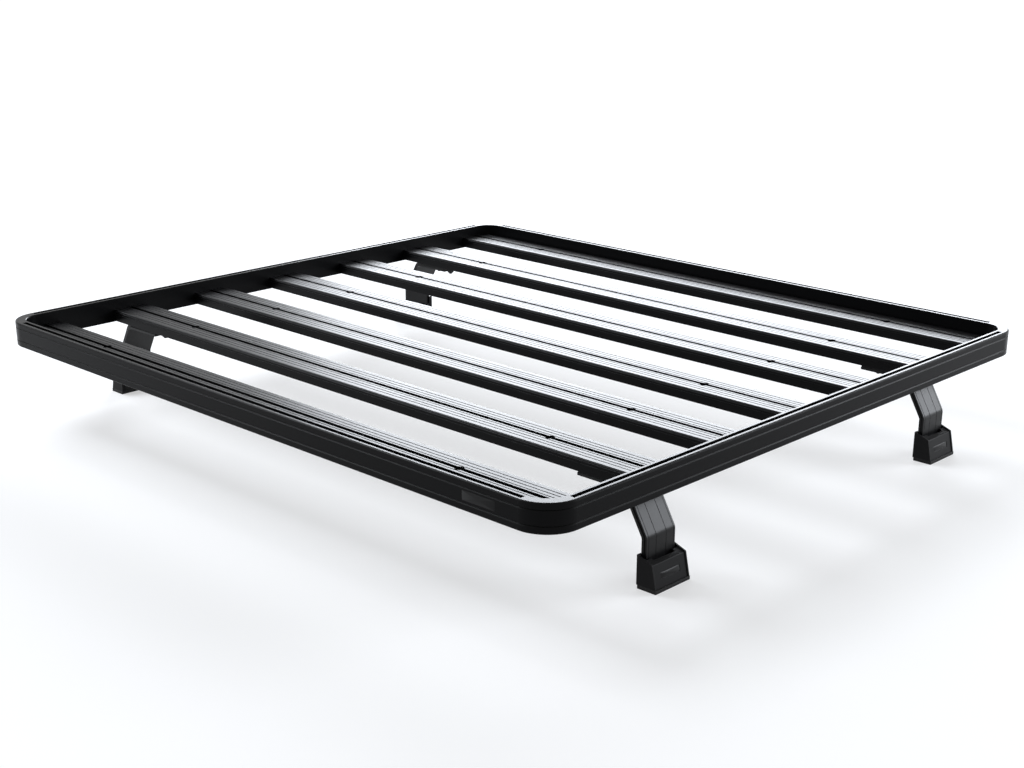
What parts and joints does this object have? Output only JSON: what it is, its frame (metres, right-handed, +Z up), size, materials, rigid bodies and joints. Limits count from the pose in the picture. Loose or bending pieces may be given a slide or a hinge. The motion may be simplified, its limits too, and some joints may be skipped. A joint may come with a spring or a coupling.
{
  "type": "truck bed rack",
  "caption": "Flat black load rack for a pickup bed: slotted ribbed slats in a low rounded rim with accessory slots, on bent strap legs with covered feet.",
  "frame": {"origin": "centre of the box that holds the rack, on the ground under its feet", "axes": "+X along the slats to the right, +Y from the front rail to the rear rail, +Z up"},
  "size_m": [1.489, 1.358, 0.204],
  "materials": {
    "frame": "black powder coat, satin",
    "foot_cover": "black moulded, fine grain",
    "foot_plate": "black powder coat",
    "foot_pad": "matt black",
    "fasteners": "black zinc plate"
  },
  "bodies": {
    "root": {"front_rail": "frame", "rear_rail": "frame", "left_rail": "frame", "right_rail": "frame", "corner_front_left": "frame", "corner_front_right": "frame", "corner_rear_left": "frame", "corner_rear_right": "frame", "slat_1": "frame", "slat_2": "frame", "slat_3": "frame", "slat_4": "frame", "slat_5": "frame", "slat_6": "frame", "slat_7": "frame", "leg_front_left": "frame", "leg_front_right": "frame", "leg_rear_left": "frame", "leg_rear_right": "frame", "foot_cover_front_left": "foot_cover", "foot_cover_front_right": "foot_cover", "foot_cover_rear_left": "foot_cover", "foot_cover_rear_right": "foot_cover", "foot_plate_front_left": "foot_plate", "foot_plate_front_right": "foot_plate", "foot_plate_rear_left": "foot_plate", "foot_plate_rear_right": "foot_plate", "foot_pad_front_left": "foot_pad", "foot_pad_front_right": "foot_pad", "foot_pad_rear_left": "foot_pad", "foot_pad_rear_right": "foot_pad", "plate_bolts_front_left": "fasteners", "plate_bolts_front_right": "fasteners", "plate_bolts_rear_left": "fasteners", "plate_bolts_rear_right": "fasteners", "foot_bolts_front_left": "fasteners", "foot_bolts_front_right": "fasteners", "foot_bolts_rear_left": "fasteners", "foot_bolts_rear_right": "fasteners"}
  },
  "joints": []
}
